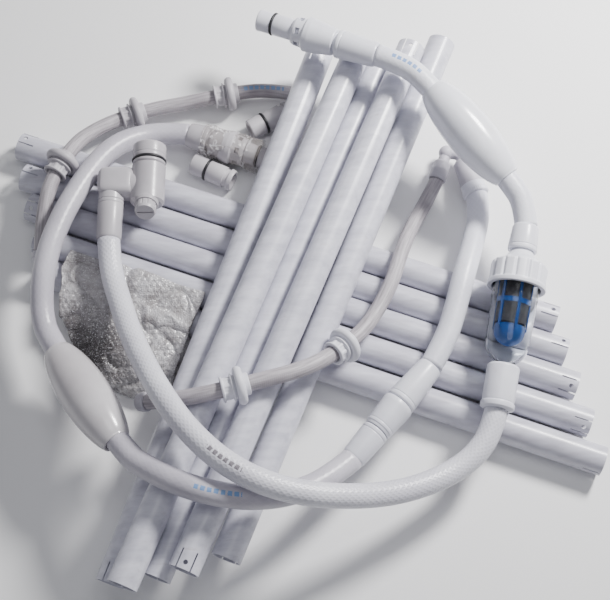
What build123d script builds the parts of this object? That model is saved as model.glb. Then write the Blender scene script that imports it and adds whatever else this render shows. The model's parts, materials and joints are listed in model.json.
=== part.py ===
from build123d import *
import math
import os

# Hose-and-tube kit of a pressure-side pool cleaner, laid out as a heap.
# Millimetres, +Z up, origin on the floor under the middle of the heap.
# Five rigid tubes lie on the floor, five more lie across them, and the
# feed hose, its fittings and two sweep hoses lie on top.

os.makedirs("parts", exist_ok=True)

# ---- driving dimensions --------------------------------------------------
TUBE_OD = 36.5
TUBE_WALL = 2.0
TUBE_LENGTH = 738.0
SLIT_LENGTH = 22.0
SLIT_WIDTH = 1.6
SLIT_SPACING = 17.0
BUTTON_HOLE = 5.5
BUTTON_SETBACK = 8.0

HOSE_OD = 28.5
SWEEP_OD = 19.0
SPIGOT_R = 9.5
BORE_R = 7.5
ROUTE_SHARE = 0.45

SEAL_R = 1.6
RUNNING_GAP = 0.3
AXIAL_GAP = 0.8

FLOAT_LENGTH = 148.0
FLOAT_R = 30.0
FLOAT_END_R = 17.0
FLOAT_FIT = 0.05

NIPPLE_R = 14.0
NIPPLE_BORE_R = 9.0
SHAFT_R = 12.0
SNAP_R = 14.6
BARREL_R = 22.5

RING_DISC_R = 23.0
RING_DISC_WIDTH = 11.0
RING_HUB_R = 13.5
RING_HUB_LENGTH = 44.0
RING_FLANGE_R = 16.5

FLOOR_LAYER_Z = TUBE_OD / 2
BUNDLE_ANGLE = -19.37


# ---- helpers -------------------------------------------------------------
def along(start, end, roll=0.0):
    """Location at start, with Z pointing at end and a roll about that Z."""
    start, end = Vector(*start), Vector(*end)
    across = Vector(0, 0, 1).cross(end - start)
    return Plane(origin=start, x_dir=across, z_dir=end - start).location * Rot(0, 0, roll)


def turned(*outline):
    """Solid of revolution about Z of a closed outline of (radius, height) points."""
    points = [(radius, 0, height) for radius, height in outline]
    return revolve(make_face(Polyline(*points, close=True)), Axis.Z)


def ring_of(count, radius, shape, start=0.0):
    """Copies of a shape at even steps round Z, moved out along X by radius."""
    step = 360 / count
    return [Rot(0, 0, start + step * i) * Pos(radius, 0, 0) * shape for i in range(count)]


def seal(radius, height):
    """O-ring whose groove floor is at radius minus its own section radius."""
    return Pos(0, 0, height) * Torus(radius, SEAL_R)


def cord_path(points):
    """Straight runs joined by arcs, each as large as its two runs allow."""
    points = [Vector(*p) for p in points]
    radii = []
    for before, corner, after in zip(points, points[1:], points[2:]):
        half_turn = math.radians((corner - before).get_angle(after - corner)) / 2
        shorter = min((corner - before).length, (after - corner).length)
        radii.append(ROUTE_SHARE * shorter / math.tan(half_turn))
    return FilletPolyline(*points, radius=radii), radii


def hose(name, points, outer):
    """Plain round tube of a free hose, swept along its route."""
    path, radii = cord_path(points)
    body = sweep(Plane(origin=path @ 0, z_dir=path % 0) * Circle(outer / 2), path=path)
    section = math.pi * (outer / 2) ** 2
    print(f"{name}: length {path.length:.0f} mm, smallest radius {min(radii):.0f} mm, "
          f"volume / (section x length) {body.volume / (section * path.length):.4f}")
    print("   radii", [round(r) for r in radii])
    return body


parts = {}


def place(name, location, *shapes):
    """Keep one named node, made of one or more separate solids."""
    solids = [solid for shape in shapes for solid in (location * shape).solids()]
    parts.setdefault(name, []).extend(solids)


# ---- rigid tubes ---------------------------------------------------------
def rigid_tube():
    """Extruded tube, each end with a sprung tab: two slits and a button hole."""
    inner = TUBE_OD / 2 - TUBE_WALL
    tube = Cylinder(TUBE_OD / 2, TUBE_LENGTH, align=(Align.CENTER, Align.CENTER, Align.MIN))
    tube -= Cylinder(inner, TUBE_LENGTH, align=(Align.CENTER, Align.CENTER, Align.MIN))
    wall_at = (TUBE_OD / 2 - TUBE_WALL / 2)
    for end in (0, 1):
        slit_z = SLIT_LENGTH / 2 if end == 0 else TUBE_LENGTH - SLIT_LENGTH / 2
        hole_z = BUTTON_SETBACK if end == 0 else TUBE_LENGTH - BUTTON_SETBACK
        for side in (-1, 1):
            cut = Box(TUBE_OD / 2, SLIT_WIDTH, SLIT_LENGTH)
            tube -= Pos(wall_at, side * SLIT_SPACING / 2, slit_z) * cut
        hole = Rot(0, 90, 0) * Cylinder(BUTTON_HOLE / 2, TUBE_OD / 2)
        tube -= Pos(wall_at, 0, hole_z) * hole
    return tube


TUBE = rigid_tube()

# floor bundle: slide along the bundle, side offset at each end, roll
FLOOR_TUBES = [
    (-421.0, 79.5, 78.5, 68),
    (-398.0, 39.0, 40.5, 58),
    (-374.0, 2.2, 3.0, 112),
    (-346.0, -37.5, -37.0, 128),
    (-319.0, -76.5, -77.5, 190),
]
bundle = math.radians(BUNDLE_ANGLE)
for number, (slide, offset_start, offset_end, roll) in enumerate(FLOOR_TUBES, 1):
    ends = []
    for distance, offset in ((slide, offset_start), (slide + TUBE_LENGTH, offset_end)):
        x = distance * math.cos(bundle) - offset * math.sin(bundle)
        y = distance * math.sin(bundle) + offset * math.cos(bundle)
        ends.append((x, y, FLOOR_LAYER_Z))
    place(f"floor_tube_{number}", along(*ends, roll), TUBE)

# top bundle: free lower end and upper end of each axis, roll
TOP_TUBES = [
    ((-213.9, -361.9, 54.8), (27.8, 335.4, 54.8), 95),
    ((-195.7, -368.2, 90.5), (74.7, 318.3, 76.0), 250),
    ((-162.3, -355.9, 61.0), (111.3, 329.5, 51.5), 240),
    ((-127.9, -351.4, 87.5), (148.9, 332.6, 73.9), 92),
    ((-83.1, -333.9, 54.8), (191.7, 351.1, 54.8), 260),
]
for number, (lower, upper, roll) in enumerate(TOP_TUBES, 1):
    place(f"top_tube_{number}", along(lower, upper, roll), TUBE)

# ---- hoses ---------------------------------------------------------------
HOSE_TOP = [
    (100, 294, 117), (131, 281, 119), (160, 258.5, 116.5), (271, 123.2, 87),
    (282.3, 98, 81.8), (283.8, 72.3, 77.3),
]
HOSE_OUTER = [
    (236.5, -159.7, 64.7), (227.5, -188.5, 62), (210, -213, 60.5), (182, -234, 61),
    (144, -252.5, 71), (100, -266, 89), (53, -273, 114), (5, -273, 133), (-42, -262, 143),
    (-83, -240, 145), (-119, -208, 143), (-150, -168, 135), (-178, -120, 114),
    (-203, -68, 87), (-221, -18, 72), (-234, 20.5, 66), (-238, 59, 66),
]
HOSE_LEFT = [
    (-147, 229, 24.5), (-175, 231, 25), (-203, 225.5, 30), (-228, 212, 41),
    (-249, 190, 52), (-267, 161, 59), (-283, 127, 66), (-298, 86, 74), (-310, 43, 77),
    (-316, 2, 72), (-315, -39, 64), (-304, -71, 62.2), (-198, -222, 98.8),
    (-165, -244, 118), (-130, -262, 130), (-91, -272.5, 127), (-52, -275, 115),
    (-13, -268, 98), (30, -250, 81), (64, -219, 66),
]
HOSE_RIGHT = [
    (160, -104, 57), (180, -70, 54), (194, -29, 54), (206, 14, 53.5),
    (219, 56, 43), (231, 96, 30), (234.5, 120, 24.5), (233, 141, 22),
]
SWEEP_HOSE_A = [
    (182, 165, 18), (167, 134, 16), (146, 94, 29), (130, 52, 46),
    (118, 11, 52), (101, -25, 56), (78, -63, 66), (34, -104, 91),
    (-3, -125, 108), (-40, -138, 119), (-94, -153, 121), (-128, -158, 114),
    (-155, -158, 100), (-177, -155, 84),
]
SWEEP_HOSE_B = [
    (1, 295, 15), (-32, 298, 20), (-66, 296, 24), (-120, 285, 24),
    (-158, 277, 21), (-193, 269, 24), (-242, 250, 28), (-271, 228, 38),
    (-293, 199, 54), (-317, 147, 60.5), (-324, 108, 56), (-326, 76, 51), (-325, 48, 50),
]
HOSES = {
    "hose_top": (HOSE_TOP, HOSE_OD),
    "hose_outer": (HOSE_OUTER, HOSE_OD),
    "hose_left": (HOSE_LEFT, HOSE_OD),
    "hose_right": (HOSE_RIGHT, HOSE_OD),
    "sweep_hose_a": (SWEEP_HOSE_A, SWEEP_OD),
    "sweep_hose_b": (SWEEP_HOSE_B, SWEEP_OD),
}
for name, (points, outer) in HOSES.items():
    place(name, Location(), hose(name, points, outer))


# ---- hose nuts -----------------------------------------------------------
def hose_nut(length, wide, narrow):
    """Clamp nut from its fitting end at 0 to the mouth that the hose butts on."""
    bore = SPIGOT_R
    return turned((bore, 0), (wide - 1, 0), (wide, 1.5), (wide, 6),
                  (narrow, length - 3), (narrow - 1, length), (bore, length))


# ---- quick connectors ----------------------------------------------------
def quick_connector(prefix, nipple_end, hose_end, nipple, barrel, seal_at):
    """Swivelling O-ring nipple snapped into a barrel that a hose nut closes."""
    spot = along(nipple_end, hose_end)
    total = (Vector(*hose_end) - Vector(*nipple_end)).length
    collar = nipple + AXIAL_GAP
    snap = collar + 5
    tail = collar + barrel
    nut = total - tail - 4
    groove = NIPPLE_R - 2
    plug = turned(
        (NIPPLE_BORE_R, 0), (NIPPLE_R - 0.6, 0), (NIPPLE_R + 0.4, 2), (NIPPLE_R, 6),
        (NIPPLE_R, seal_at - 2), (groove, seal_at - 2), (groove, seal_at + 2),
        (NIPPLE_R, seal_at + 2), (NIPPLE_R, nipple), (SHAFT_R, nipple),
        (SHAFT_R, snap + AXIAL_GAP), (SNAP_R, snap + AXIAL_GAP),
        (SNAP_R - 1, snap + 7), (NIPPLE_BORE_R, snap + 7))
    mouth = SHAFT_R + RUNNING_GAP
    cavity = SNAP_R + RUNNING_GAP
    cup = turned(
        (mouth, collar), (17, collar), (18.5, collar + 3), (19.5, collar + 15),
        (BARREL_R, collar + 18), (BARREL_R, collar + 24), (17.5, tail - 1.5),
        (16.5, tail), (12.5, tail), (12.5, tail + 4), (SPIGOT_R, tail + 4),
        (SPIGOT_R, total - 4), (BORE_R, total - 4), (BORE_R, snap + 8),
        (cavity, snap + 8), (cavity, snap), (mouth, snap))
    for window in ring_of(6, 17, Box(10, 8, 6)):
        cup -= Pos(0, 0, snap + 4) * window
    place(f"{prefix}_nipple", spot, plug)
    place(f"{prefix}_nipple_seal", spot, seal(groove + SEAL_R, seal_at))
    place(f"{prefix}_swivel_barrel", spot, cup)
    place(f"{prefix}_hose_nut", spot * Pos(0, 0, tail + 4), hose_nut(nut, 18.6, 16.2))


quick_connector("top", (-52, 359, 98), HOSE_TOP[0], 50, 57.5, 21)
quick_connector("left", (-36.5, 192, 21.5), HOSE_LEFT[0], 36, 48, 19)


# ---- floats --------------------------------------------------------------
def float_body():
    """Blown oval float with a sleeve for the hose, from 0 to its length on Z."""
    half = FLOAT_LENGTH / 2
    sleeve = HOSE_OD / 2 + FLOAT_FIT
    reach = half / math.sqrt(1 - (FLOAT_END_R / FLOAT_R) ** 2)
    rim = [(FLOAT_R * math.sqrt(1 - (height / reach) ** 2), 0, half + height)
           for height in [half * (step / 8 - 1) for step in range(17)]]
    profile = [Spline(*rim), Line(rim[-1], (sleeve, 0, FLOAT_LENGTH)),
               Line((sleeve, 0, FLOAT_LENGTH), (sleeve, 0, 0)), Line((sleeve, 0, 0), rim[0])]
    return revolve(make_face(profile), Axis.Z)


FLOATS = {
    "upper_float": HOSE_TOP[2:4],
    "lower_float": HOSE_LEFT[11:13],
}
for name, (start, end) in FLOATS.items():
    middle = (Vector(*start) + Vector(*end)) / 2
    reach = (Vector(*end) - Vector(*start)).normalized() * FLOAT_LENGTH / 2
    place(name, along(middle - reach, middle + reach), float_body())

# ---- inline filter -------------------------------------------------------
FILTER_INLET = (277, 39, 75.5)
FILTER_OUTLET = (247, -108, 67.5)
INLET_NUT = 34.0
FILTER_LENGTH = 148.0
CAP_LENGTH = 44.0
COLLAR_R = 36.0
COLLAR_LENGTH = 31.0
COLLAR_START = 18.0
BOWL_R = 28.5
BOWL_WALL = 2.5
BOWL_RIM_R = 31.5
BASKET_R = 20.5
BASKET_FLANGE_R = 25.95
BASKET_LENGTH = 92.0
MESH_R = 19.2

filter_at = along(FILTER_INLET, FILTER_OUTLET)
bowl_start = COLLAR_START + 12
bowl_floor = FILTER_LENGTH - 4

# cap: hose tail, dished neck and a skirt that the bowl rim seats in
cap = turned(
    (BORE_R, 4 - INLET_NUT), (SPIGOT_R, 4 - INLET_NUT), (SPIGOT_R, 0), (14, 0), (16.5, 5),
    (18, 8), (28, 17), (BOWL_RIM_R, 20), (BOWL_RIM_R, bowl_start + 3),
    (28 + SEAL_R, bowl_start + 3), (28 + SEAL_R, bowl_start + 3 - 2 * SEAL_R),
    (28 - SEAL_R, bowl_start + 3 - 2 * SEAL_R), (28 - SEAL_R, 24), (12, 12), (BORE_R, 4))
place("filter_cap", filter_at, cap)
place("filter_seal", filter_at, seal(28, bowl_start + 3 - SEAL_R))

# clear bowl with a round shoulder down to its outlet tail
bowl_outer = turned(
    (0, bowl_start + 3), (BOWL_RIM_R, bowl_start + 3), (BOWL_RIM_R, bowl_start + 7),
    (BOWL_R, bowl_start + 9), (BOWL_R - 1.5, bowl_floor - 24), (24, bowl_floor - 12),
    (17, bowl_floor - 3), (12.5, bowl_floor), (12.5, bowl_floor + 4),
    (SPIGOT_R, bowl_floor + 4), (SPIGOT_R, bowl_floor + 55), (0, bowl_floor + 55))
bowl_inner = turned(
    (0, bowl_start + 3), (BOWL_R - BOWL_WALL, bowl_start + 3),
    (BOWL_R - BOWL_WALL - 1.5, bowl_floor - 25), (21.5, bowl_floor - 14),
    (14, bowl_floor - 6), (BORE_R, bowl_floor - 2), (BORE_R, bowl_floor + 55), (0, bowl_floor + 55))
place("filter_bowl", filter_at, bowl_outer - bowl_inner)

# fluted collar that turns to clamp the bowl rim under the cap
collar = turned(
    (BOWL_RIM_R + RUNNING_GAP, COLLAR_START), (COLLAR_R - 3, COLLAR_START),
    (COLLAR_R - 1, COLLAR_START + 3), (COLLAR_R - 1, COLLAR_START + COLLAR_LENGTH - 6),
    (COLLAR_R, COLLAR_START + COLLAR_LENGTH - 5), (COLLAR_R, COLLAR_START + COLLAR_LENGTH),
    (BOWL_R + 1.5, COLLAR_START + COLLAR_LENGTH), (BOWL_R + 1.5, bowl_start + 11),
    (BOWL_RIM_R + RUNNING_GAP, bowl_start + 8.5))
flute = Cylinder(3.2, COLLAR_LENGTH - 6, align=(Align.CENTER, Align.CENTER, Align.MIN))
for cut in ring_of(14, COLLAR_R + 0.8, flute):
    collar -= Pos(0, 0, COLLAR_START - 1) * cut
place("filter_collar", filter_at, collar)

# strainer basket: rings and ribs over a mesh sleeve, closed by a solid dome
basket_start = bowl_start + 3.5
dome_at = basket_start + BASKET_LENGTH - BASKET_R
half_at = basket_start + (BASKET_LENGTH - BASKET_R) / 2
basket = turned((MESH_R, basket_start), (BASKET_FLANGE_R, basket_start),
                (BASKET_FLANGE_R, basket_start + 2), (BASKET_R, basket_start + 6),
                (MESH_R, basket_start + 6))
basket += turned((MESH_R, half_at - 3), (BASKET_R, half_at - 3),
                 (BASKET_R, half_at + 3), (MESH_R, half_at + 3))
dome = Pos(0, 0, dome_at) * (Sphere(BASKET_R - 1.5) - Sphere(BASKET_R - 3.5))
dome &= Pos(0, 0, dome_at - 6) * Cylinder(40, 40, align=(Align.CENTER, Align.CENTER, Align.MIN))
basket += dome
rib = Box(BASKET_R - MESH_R, 3.5, dome_at - basket_start, align=(Align.MIN, Align.CENTER, Align.MIN))
for bar in ring_of(6, MESH_R, rib, start=18):
    basket += Pos(0, 0, basket_start) * bar
place("strainer_basket", filter_at, basket)
place("strainer_mesh", filter_at, turned(
    (MESH_R - 0.8, basket_start + 1), (MESH_R, basket_start + 1),
    (MESH_R, dome_at - 8), (MESH_R - 0.8, dome_at - 8)))
place("filter_inlet_nut", filter_at * Rot(180, 0, 0), hose_nut(INLET_NUT, 18.2, 16.4))
outlet_at = filter_at * Pos(0, 0, bowl_floor + 4)
place("filter_outlet_nut", outlet_at, turned(
    (SPIGOT_R, 0), (18, 0), (20, 2.5), (19.6, 46), (20.6, 47), (20.6, 53),
    (16.2, 55), (SPIGOT_R, 55)))

# ---- ball-bearing swivel -------------------------------------------------
SWIVEL_LOWER = HOSE_LEFT[-1]
SWIVEL_UPPER = HOSE_RIGHT[0]
swivel_at = along(SWIVEL_LOWER, SWIVEL_UPPER)
SWIVEL_LENGTH = (Vector(*SWIVEL_UPPER) - Vector(*SWIVEL_LOWER)).length
LOWER_NUT = 44.0
UPPER_NUT = 60.0
BARREL_START = LOWER_NUT + 1.0
BARREL_END = SWIVEL_LENGTH - UPPER_NUT - 1.5
BALL_R = 2.4
BALL_TRACK_R = 12.6

lower_spool = turned(
    (BORE_R, 4), (SPIGOT_R, 4), (SPIGOT_R, LOWER_NUT), (13, LOWER_NUT),
    (13, BARREL_START + 8.8), (10.2, BARREL_START + 8.8), (10.2, BARREL_START + 14),
    (12.2, BARREL_START + 14), (12.2, BARREL_START + 17), (BORE_R, BARREL_START + 17))
place("swivel_lower_spool", swivel_at, lower_spool)
upper_spool = turned(
    (BORE_R, BARREL_END - 14), (12.2, BARREL_END - 14), (12.2, BARREL_END - 11),
    (10.2, BARREL_END - 11), (10.2, BARREL_END - 5.8), (13, BARREL_END - 5.8),
    (13, BARREL_END + 1.5), (SPIGOT_R, BARREL_END + 1.5),
    (SPIGOT_R, SWIVEL_LENGTH - 4), (BORE_R, SWIVEL_LENGTH - 4))
place("swivel_upper_spool", swivel_at, upper_spool)
swivel_barrel = turned(
    (13 + RUNNING_GAP, BARREL_START), (16.5, BARREL_START), (17, BARREL_START + 4),
    (18, BARREL_START + 5), (20, BARREL_END - 5), (19, BARREL_END),
    (13 + RUNNING_GAP, BARREL_END), (13 + RUNNING_GAP, BARREL_END - 5),
    (15.2, BARREL_END - 6), (15.2, BARREL_START + 8), (13 + RUNNING_GAP, BARREL_START + 7))
place("swivel_barrel", swivel_at, swivel_barrel)
for track in (BARREL_START + 11.4, BARREL_END - 8.4):
    for ball in ring_of(10, BALL_TRACK_R, Sphere(BALL_R)):
        place("swivel_balls", swivel_at * Pos(0, 0, track), ball)
place("swivel_lower_nut", swivel_at * Pos(0, 0, LOWER_NUT) * Rot(180, 0, 0),
      hose_nut(LOWER_NUT, 17, 15.4))
place("swivel_upper_nut", swivel_at * Pos(0, 0, SWIVEL_LENGTH - UPPER_NUT),
      hose_nut(UPPER_NUT, 19, 15.6))

# ---- wall elbow with relief valve ----------------------------------------
PIPE_R = 16.0
ARM_R = 17.0
ELBOW_Z = 66.0
PIPE_X = HOSE_OUTER[-1][0]
ARM_Y = 134.0
HOUSING_X = -192.0
NUT_MOUTH_Y = HOSE_OUTER[-1][1]
NUT_TOP_Y = 112.0
HOUSING_R = 21.5
HOUSING_FRONT_Y = 108.0
HOUSING_BACK_Y = 160.0
RELIEF_TILT = 24.0


def drill(start, end, radius):
    """Round bar from start to end."""
    bar = Cylinder(radius, (Vector(*end) - Vector(*start)).length,
                   align=(Align.CENTER, Align.CENTER, Align.MIN))
    return along(start, end) * bar


corner = (PIPE_X, ARM_Y, ELBOW_Z)
centre = (HOUSING_X, ARM_Y, ELBOW_Z)
housing_at = along((HOUSING_X, HOUSING_FRONT_Y, ELBOW_Z), (HOUSING_X, HOUSING_BACK_Y, ELBOW_Z))
elbow = drill((PIPE_X, NUT_TOP_Y, ELBOW_Z), corner, PIPE_R)
elbow += Pos(*corner) * Sphere(ARM_R)
elbow += drill(corner, centre, ARM_R)
elbow += drill((PIPE_X, NUT_MOUTH_Y + 4, ELBOW_Z), (PIPE_X, NUT_TOP_Y, ELBOW_Z), SPIGOT_R)
elbow += housing_at * turned((0, 0), (18.5, 0), (HOUSING_R, 3), (HOUSING_R, 52), (0, 52))
relief_at = Pos(HOUSING_X, HOUSING_FRONT_Y + 12, ELBOW_Z + 2) * Rot(90 - RELIEF_TILT, 0, 0)
elbow += relief_at * turned((0, -6), (15.5, -6), (15.5, 16), (14.5, 20), (0, 20))
elbow -= drill((PIPE_X, NUT_MOUTH_Y, ELBOW_Z), corner, BORE_R)
elbow -= drill(corner, centre, BORE_R + 2)
elbow -= housing_at * Pos(0, 0, 14) * Cylinder(
    12, 60, align=(Align.CENTER, Align.CENTER, Align.MIN))
socket_r = 17.0
elbow -= housing_at * Pos(0, 0, 36) * Cylinder(
    socket_r, 20, align=(Align.CENTER, Align.CENTER, Align.MIN))
elbow -= relief_at * Pos(0, 0, 4) * Cylinder(
    11, 20, align=(Align.CENTER, Align.CENTER, Align.MIN))
elbow -= relief_at * Pos(0, 0, -12) * Cylinder(
    6, 20, align=(Align.CENTER, Align.CENTER, Align.MIN))
place("elbow_body", Location(), elbow)
place("elbow_hose_nut", along((PIPE_X, NUT_TOP_Y, ELBOW_Z), (PIPE_X, NUT_MOUTH_Y, ELBOW_Z)),
      hose_nut(NUT_TOP_Y - NUT_MOUTH_Y, 16.4, 15.6))

# outlet stub that plugs into the pool wall, free to turn in the housing
stub = turned(
    (12, 36.8), (socket_r - RUNNING_GAP, 36.8), (socket_r - RUNNING_GAP, 53),
    (19, 53), (21, 55), (21, 58), (19, 58), (19, 62), (21, 62), (21.5, 80), (20, 82), (12, 82))
place("wall_nipple", housing_at, stub)
place("wall_nipple_seal", housing_at, seal(19 + SEAL_R, 60))

# pressure relief: poppet on its seat, spring, and the screwed adjusting knob
place("relief_poppet", relief_at, turned((0, 4.4), (9, 4.4), (9, 6.4), (3, 7.4), (3, 11), (0, 11)))
spring_path = Helix(pitch=2.6, height=10.4, radius=6.5)
coil = sweep(Plane(origin=spring_path @ 0, z_dir=spring_path % 0) * Circle(0.55), path=spring_path)
place("relief_spring", relief_at * Pos(0, 0, 8), coil)
knob = turned(
    (0, 20.6), (13.4, 20.6), (13.4, 30), (12, 33), (0, 33))
knob += turned((0, 20.6), (10.6, 20.6), (10.6, 19.2), (0, 19.2))
knob -= Pos(0, 0, 33) * Box(20, 2.2, 3)
for notch in ring_of(12, 14.2, Cylinder(1.6, 8), start=15):
    knob -= Pos(0, 0, 25.5) * notch
place("relief_knob", relief_at, knob)

# ---- sweep take-off reducer ----------------------------------------------
REDUCER_MOUTH = HOSE_RIGHT[-1]
REDUCER_END = (217.5, 190.5, 20)
reducer_at = along(REDUCER_MOUTH, REDUCER_END)
place("reducer_hose_nut", reducer_at, turned(
    (SPIGOT_R, 0), (16, 0), (17.5, 1.5), (17.5, 7), (16.4, 8), (16.4, 16), (SPIGOT_R, 16)))
place("reducer_body", reducer_at, turned(
    (BORE_R, 4), (SPIGOT_R, 4), (SPIGOT_R, 16), (16, 16), (14, 38), (14, 50),
    (10, 54), (7.6, 54), (7.6, 45), (BORE_R, 44)))
ELBOW_BALL = (196, 204, 20)
SWEEP_MOUTH = SWEEP_HOSE_A[0]
CUFF_SHARE = 0.64
SWEEP_CUFF_TOP = tuple(Vector(*SWEEP_MOUTH) * (1 - CUFF_SHARE) + Vector(*ELBOW_BALL) * CUFF_SHARE)
SWEEP_TAIL = 14.0
cuff_at = along(SWEEP_MOUTH, SWEEP_CUFF_TOP)
elbow_start = (reducer_at * Pos(0, 0, 46)).position
knee = (reducer_at * Pos(0, 0, 64)).position
elbow_path = FilletPolyline(elbow_start, knee, ELBOW_BALL, SWEEP_CUFF_TOP, radius=[10, 7.7])
sweep_elbow = sweep(
    Plane(origin=elbow_path @ 0, z_dir=elbow_path % 0) * Circle(7.5), path=elbow_path)
sweep_elbow += Pos(*ELBOW_BALL) * Rot(35, 20, 10) * Sphere(10)
place("sweep_elbow", Location(), sweep_elbow)


# ---- sweep hose cuffs ----------------------------------------------------
def sweep_cuff(length):
    """Stepped rubber cuff, closed end at 0, whose mouth the sweep hose butts on."""
    return turned((0, 0), (9.5, 0), (11, 2), (11, length * 0.4), (11.8, length * 0.45),
                  (11.8, length - 2), (11, length), (0, length))


cuff_length = (Vector(*SWEEP_CUFF_TOP) - Vector(*SWEEP_MOUTH)).length
place("sweep_cuffs", cuff_at * Pos(0, 0, cuff_length) * Rot(180, 0, 0), sweep_cuff(cuff_length))
for points in (SWEEP_HOSE_A, SWEEP_HOSE_B):
    last, before = Vector(*points[-1]), Vector(*points[-2])
    tip = last + (last - before).normalized() * SWEEP_TAIL
    place("sweep_cuffs", along(tip, last), sweep_cuff(SWEEP_TAIL))

# ---- wear rings ----------------------------------------------------------
WEAR_RINGS = [
    SWEEP_HOSE_A[6:8], SWEEP_HOSE_A[9:11],
    SWEEP_HOSE_B[2:4], SWEEP_HOSE_B[5:7], SWEEP_HOSE_B[8:10],
]
RING_BORE_R = 10.9
half_disc = RING_DISC_WIDTH / 2
half_hub = RING_HUB_LENGTH / 2
wear_ring = turned(
    (RING_BORE_R, -half_hub), (RING_HUB_R, -half_hub), (RING_HUB_R, 4 - half_hub),
    (RING_HUB_R - 1, 4 - half_hub), (RING_HUB_R - 1, -half_disc - 8),
    (RING_FLANGE_R, -half_disc - 8), (RING_FLANGE_R, -half_disc - 5.5),
    (RING_HUB_R + 1, -half_disc - 5), (RING_HUB_R + 1, -half_disc),
    (RING_DISC_R - 3, -half_disc), (RING_DISC_R, 3 - half_disc), (RING_DISC_R, half_disc - 3),
    (RING_DISC_R - 3, half_disc), (RING_HUB_R + 1, half_disc), (RING_HUB_R + 1, half_disc + 5),
    (RING_FLANGE_R, half_disc + 5.5), (RING_FLANGE_R, half_disc + 8),
    (RING_HUB_R - 1, half_disc + 8), (RING_HUB_R - 1, half_hub - 4),
    (RING_HUB_R, half_hub - 4), (RING_HUB_R, half_hub), (RING_BORE_R, half_hub))
for number, (start, end) in enumerate(WEAR_RINGS, 1):
    middle = (Vector(*start) + Vector(*end)) / 2
    place(f"wear_ring_{number}", along(middle, end), wear_ring)

# ---- spare nipples -------------------------------------------------------
SPARE_LENGTH = 60.0
SPARE_SEAL_AT = 22.0
SPARES = [((-141, 191, 15.6), (-85, 164, 15.6)), ((-66, 240, 15.6), (-10, 272, 15.6))]
groove = NIPPLE_R - 2
spare = turned(
    (NIPPLE_BORE_R, 0), (NIPPLE_R - 0.6, 0), (NIPPLE_R, 1), (NIPPLE_R, SPARE_SEAL_AT - 2),
    (groove, SPARE_SEAL_AT - 2), (groove, SPARE_SEAL_AT + 2), (NIPPLE_R, SPARE_SEAL_AT + 2),
    (NIPPLE_R, SPARE_LENGTH - 12), (SHAFT_R, SPARE_LENGTH - 12), (SHAFT_R, SPARE_LENGTH - 6),
    (SNAP_R, SPARE_LENGTH - 6), (SNAP_R - 1, SPARE_LENGTH), (NIPPLE_BORE_R, SPARE_LENGTH))
for start, end in SPARES:
    place("spare_nipples", along(start, end), spare)
    place("spare_seals", along(start, end), seal(groove + SEAL_R, SPARE_SEAL_AT))

# ---- wrapped pack --------------------------------------------------------
PACK_OUTLINE = [(-303, 34), (-292, 60), (-116, -2), (-122, -26), (-162, -138),
                (-214, -152), (-262, -118), (-300, -32)]
PACK_SECTION = [(-22, 37.2), (-30, 43), (-60, 46), (-105, 45), (-150, 38), (-186, 18),
                (-192, 0), (-96, 0), (-96, 37.2)]
section = make_face(Polyline(*[(0, offset, height) for offset, height in PACK_SECTION], close=True))
draped = Rot(0, 0, BUNDLE_ANGLE) * Pos(-400, 0, 0) * extrude(section, 400, dir=(1, 0, 0))
footprint = extrude(make_face(Polyline(*PACK_OUTLINE, close=True)), 60)
place("wrapped_pack", Location(), draped & footprint)

# ---- write one file per named node ---------------------------------------
for name, solids in parts.items():
    node = solids[0] if len(solids) == 1 else Compound(children=solids)
    export_step(node, f"parts/{name}.step")
print(len(parts), "nodes")
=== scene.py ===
import json
import math

import bmesh
import bpy
from mathutils import Matrix, Vector, noise


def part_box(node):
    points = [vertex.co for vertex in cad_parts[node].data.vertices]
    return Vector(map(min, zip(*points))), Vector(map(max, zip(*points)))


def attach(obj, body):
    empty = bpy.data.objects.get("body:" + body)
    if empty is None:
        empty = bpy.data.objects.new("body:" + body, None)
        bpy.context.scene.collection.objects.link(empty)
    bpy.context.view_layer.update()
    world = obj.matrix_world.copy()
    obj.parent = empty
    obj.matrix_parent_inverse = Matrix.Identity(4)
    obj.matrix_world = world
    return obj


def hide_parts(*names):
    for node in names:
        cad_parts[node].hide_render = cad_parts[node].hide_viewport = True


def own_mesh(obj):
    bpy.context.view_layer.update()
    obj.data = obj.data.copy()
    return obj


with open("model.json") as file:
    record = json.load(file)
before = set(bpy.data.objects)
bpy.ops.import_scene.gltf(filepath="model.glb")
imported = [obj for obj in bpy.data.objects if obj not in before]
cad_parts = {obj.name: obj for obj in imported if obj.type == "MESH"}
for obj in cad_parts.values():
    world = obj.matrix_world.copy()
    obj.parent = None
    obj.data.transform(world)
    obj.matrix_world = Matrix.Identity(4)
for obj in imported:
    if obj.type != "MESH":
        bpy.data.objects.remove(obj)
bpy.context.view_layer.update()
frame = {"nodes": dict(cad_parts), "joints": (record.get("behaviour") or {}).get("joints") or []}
NODES = frame["nodes"]
JOINTS = {joint["name"]: joint for joint in frame["joints"]}
KIT = "kit"
MM = 0.001

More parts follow.
